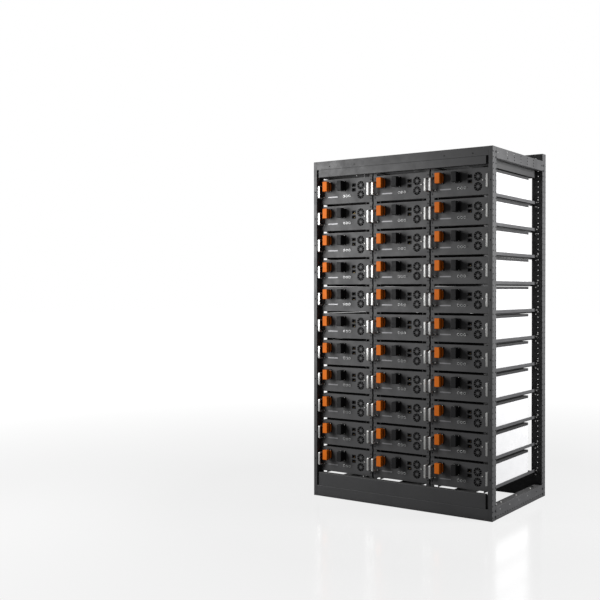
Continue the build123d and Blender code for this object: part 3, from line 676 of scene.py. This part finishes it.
def add_top_flange(build):
    """Coated flange of the panel that lies back over the case; this dark sheet is painted shade,
    standing in for the shade in the gap above the module.
    """
    half = CASE_WIDTH / 2
    build.add(rounded_box(-half, half, PANEL_THICKNESS - 0.5, TOP_FLANGE_END, CASE_TOP - 0.1,
                          PANEL_HEIGHT - 0.1, 0.2, 1), PANEL_COAT)


def add_nameplate(build):
    """Blank plate in place of any marking."""
    x, z, width, height = NAMEPLATE
    outline = rectangle(x - width / 2, x + width / 2, z - height / 2, z + height / 2, 1.5)
    build.add(plate([outline], -0.6, 0, 0.2), PLATE)


def module_front(name, complete):
    """Front of a module; a complete one has its own fan rotors and button cap."""
    build = Build(name)
    add_panel(build)
    for side in (-1, 1):
        add_handle(build, side)
    add_connector(build, POSITIVE_X, ORANGE)
    add_connector(build, NEGATIVE_X, BLACK)
    for z in port_heights():
        add_port(build, z)
    add_status(build)
    if complete:
        for z in FAN_HEIGHTS:
            add_still_fan(build, FAN_X, z)
    add_screws(build)
    add_nameplate(build)
    add_top_flange(build)
    if complete:
        build.add(button_mesh(), BLACK)
    return build.finish()


def button_mesh():
    """Domed cap of the push button with a collar behind the panel."""
    profile = [(6.3, 6), (6.3, 3.6), (4.5, 3.6), (4.5, -2.6), (3.8, -3.3), (2.0, -3.5), (0, -3.4)]
    return turned(profile, BUTTON.x, BUTTON.z)


# ---- module case ------------------------------------------------------------------------
def add_cover_screws(build):
    """Row of small screws along both lips of the cover."""
    for side in (-1, 1):
        for k in range(COVER_SCREWS):
            y = CASE_FRONT + 30 + (CASE_BACK - CASE_FRONT - 60) * k / (COVER_SCREWS - 1)
            head = screw(0, 0, 2.6, 1.2)
            turn = Matrix.Rotation(math.radians(90 * side), 4, "Z")
            place = Matrix.Translation((side * (CASE_WIDTH / 2 + COVER_SHEET) * MM, y * MM,
                                        (CASE_TOP - 8) * MM))
            head.transform(place @ turn)
            build.add(head, DARK_SCREW)


def rear_wall_outlines():
    """Rear wall with two banks of air slots."""
    half = CASE_WIDTH / 2
    outlines = [rectangle(-half, half, CASE_BOTTOM, CASE_TOP - CASE_SHEET_THICKNESS, 1.0)]
    wide = AIR_SLOT_WIDTH / 2
    for bank in AIR_BANKS_X:
        for k in range(AIR_SLOTS):
            x = bank + AIR_SLOT_PITCH * (k - (AIR_SLOTS - 1) / 2)
            outlines.append(rectangle(x - wide, x + wide, *AIR_SLOT_Z, 2.4))
    return outlines


def module_case(name):
    """Tray, slotted rear wall, dark sheet behind it, cover with lips and cover screws; the
    near-black cover is painted shade.
    """
    half, sheet, cover = CASE_WIDTH / 2, CASE_SHEET_THICKNESS, COVER_SHEET
    front, back, bottom, top = CASE_FRONT, CASE_BACK, CASE_BOTTOM, CASE_TOP - CASE_SHEET_THICKNESS
    build = Build(name)
    for x0, x1 in ((-half, -half + sheet), (half - sheet, half)):
        build.add(rounded_box(x0, x1, front, back, bottom, top, 0.5), CASE_SHEET)
    build.add(rounded_box(-half, half, front, back, bottom, bottom + sheet, 0.5), CASE_SHEET)
    build.add(plate(rear_wall_outlines(), back - sheet, back, 0.3), CASE_SHEET)
    # dark sheet inside the rear wall: painted shade, standing in for the shade inside the case
    # seen through the air slots
    build.add(rounded_box(-half + 2, half - 2, back - 12, back - 8, bottom + 2, top - 1, 0.5),
              DEEP_BLACK)
    build.add(rounded_box(-half - cover, half + cover, front + 1, back, top, CASE_TOP, 0.6),
              COVER_SHADED_COAT)
    for x in (-half, half):
        outer = x + math.copysign(cover, x)
        build.add(rounded_box(x, outer, front + 1, back, CASE_TOP - COVER_LIP, CASE_TOP, 0.5),
                  COVER_SHADED_COAT)
    add_cover_screws(build)
    return build.finish()


def cover_screw_piece():
    build = Build("cover_screws")
    add_cover_screws(build)
    return build.finish()


# ---- put the pieces in place ---------------------------------------------------------------
def show(name, mesh, body, place, slot_name, *nodes):
    """Object for a mesh, moved to its place, riding on a body and standing for nodes."""
    piece = bpy.data.objects.new(name, mesh)
    bpy.context.scene.collection.objects.link(piece)
    piece.location = place
    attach(piece, body)
    if nodes:
        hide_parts(*nodes)


def module_place(node):
    """Where a plain module's panel centre, face and underside are."""
    low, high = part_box(node)
    return Vector(((low.x + high.x) / 2, PANEL_Y, low.z))


def build_modules():
    front = module_front("module_front", True)
    case = module_case("module_case")
    for node in sorted(NODES):
        if node.startswith("module_column"):
            place = module_place(node)
            short = node.replace("module_", "")
            show(f"front_{short}", front, node, place, "panel_coat", node)
            show(f"case_{short}", case, node, place, "case_sheet", node)
    place = Vector((PANEL_CENTRE_X, PANEL_Y, PANEL_BOTTOM))
    show("detailed_front", module_front("detailed_front", False), DETAILED, place, "panel_coat",
         "front_panel", "handles", "positive_connector", "negative_connector", "data_ports",
         "status_lights", "panel_screws")
    show("detailed_cover_screws", cover_screw_piece(), DETAILED, place, "zinc_fastener")
    button = Build("button_cap").add(button_mesh(), BLACK).finish()
    show("button_cap", button, "power_button", place, "black_housing", "power_button")


def dress(node, material):
    """Material for a CAD node that stays as it is."""
    piece = NODES[node]
    piece.data.materials.clear()
    piece.data.materials.append(material)


def dress_frame():
    looks = {
        FRAME_COAT: ("front_left_post", "front_right_post", "middle_posts", "front_header",
                     "front_plinth", "filler_panels", "side_rails"),
        # painted shade: rear header and top guides get the darker copy of the frame coat
        REAR_SHADED_COAT: ("frame_beams",),
        POST_SHADED_COAT: ("rear_left_post", "rear_right_post"),
        RAIL_COAT: ("support_rails",),
        BOLT_METAL: ("frame_bolts",),
        CASE_SHEET: ("case_tray",),
        # painted shade: the detailed module's cover gets the same near-black coat
        COVER_SHADED_COAT: ("case_cover",),
        CELL: ("cell_stack",),
        COPPER: ("busbars",),
        BOARD: ("management_board",),
        BLACK: ("fan_housings", "upper_fan_rotor", "lower_fan_rotor"),
    }
    for material, nodes in looks.items():
        for node in nodes:
            dress(node, material)


# ---- stage, light and camera ------------------------------------------------------------------
def set_tone():
    """Plain tones, so that the greys stay as deep as the paint is."""
    bpy.context.scene.view_settings.view_transform = "Standard"
    bpy.context.scene.view_settings.look = "None"


def seen_or_felt(tree, seen, felt):
    """Strength that the picture shows, and the lower one that lights the object."""
    ray = tree.nodes.new("ShaderNodeLightPath")
    level = tree.nodes.new("ShaderNodeMapRange")
    level.inputs["To Min"].default_value = felt
    level.inputs["To Max"].default_value = seen
    link(tree, ray, "Is Camera Ray", level, "Value")
    return level


def studio_world():
    """White surroundings; their own light on the object is kept low."""
    world = bpy.data.worlds.new("studio")
    bpy.context.scene.world = world
    world.use_nodes = True
    tree = world.node_tree
    background = tree.nodes["Background"]
    background.inputs["Color"].default_value = (1, 1, 1, 1)
    link(tree, seen_or_felt(tree, 1.0, AMBIENT), "Result", background, "Strength")


def floor_material():
    """Pale glossy floor that gets whiter away from the rack."""
    material, tree, shader = new_material("floor")
    shader.inputs["Base Color"].default_value = (0.07, 0.07, 0.07, 1)
    link(tree, seen_or_felt(tree, 0.86, AMBIENT), "Result", shader, "Emission Strength")
    place = tree.nodes.new("ShaderNodeNewGeometry")
    reach = tree.nodes.new("ShaderNodeVectorMath")
    reach.operation = "LENGTH"
    link(tree, place, "Position", reach, 0)
    fade = tree.nodes.new("ShaderNodeMapRange")
    fade.inputs["From Min"].default_value = 1.5
    fade.inputs["From Max"].default_value = 6.0
    link(tree, reach, "Value", fade, "Value")
    glow = ramp(tree, fade, "Result", [(0.0, 0.92), (1.0, 1.16)])
    link(tree, glow, "Color", shader, "Emission Color")
    vary_roughness(tree, shader, 0.14, 0.18, 0.8)
    return material


def build_floor():
    bpy.ops.mesh.primitive_plane_add(size=FLOOR_SIZE, location=(0, 0, 0))
    floor = bpy.context.object
    floor.name = "floor"
    floor.data.materials.append(floor_material())


def area_light(name, place, target, size, energy):
    """Rectangular soft box; size is (width, height)."""
    data = bpy.data.lights.new(name, "AREA")
    data.shape = "RECTANGLE"
    data.size, data.size_y = size
    data.energy = energy
    light = bpy.data.objects.new(name, data)
    light.location = place
    light.rotation_euler = (Vector(target) - Vector(place)).to_track_quat("-Z", "Y").to_euler()
    bpy.context.scene.collection.objects.link(light)


def build_lights():
    area_light("front_left", (-1.95, -2.05, 1.75), (0.0, -0.4, 1.3), (1.3, 2.0), 74)
    area_light("right_side", (3.2, 1.0, 1.9), (0.6, 0.0, 1.5), (1.2, 2.0), 190)


def build_camera():
    """Eye level slightly above the middle, from the front right."""
    data = bpy.data.cameras.new("camera")
    data.lens = 54.1
    data.sensor_width = 36.0
    data.shift_x = -0.12
    camera = bpy.data.objects.new("camera", data)
    camera.location = (2.736, -4.876, 1.274)
    camera.rotation_euler = (math.radians(90 - 0.63), 0, math.radians(32.91))
    bpy.context.scene.collection.objects.link(camera)
    bpy.context.scene.camera = camera


build_modules()
dress_frame()
set_tone()
studio_world()
build_floor()
build_lights()
build_camera()
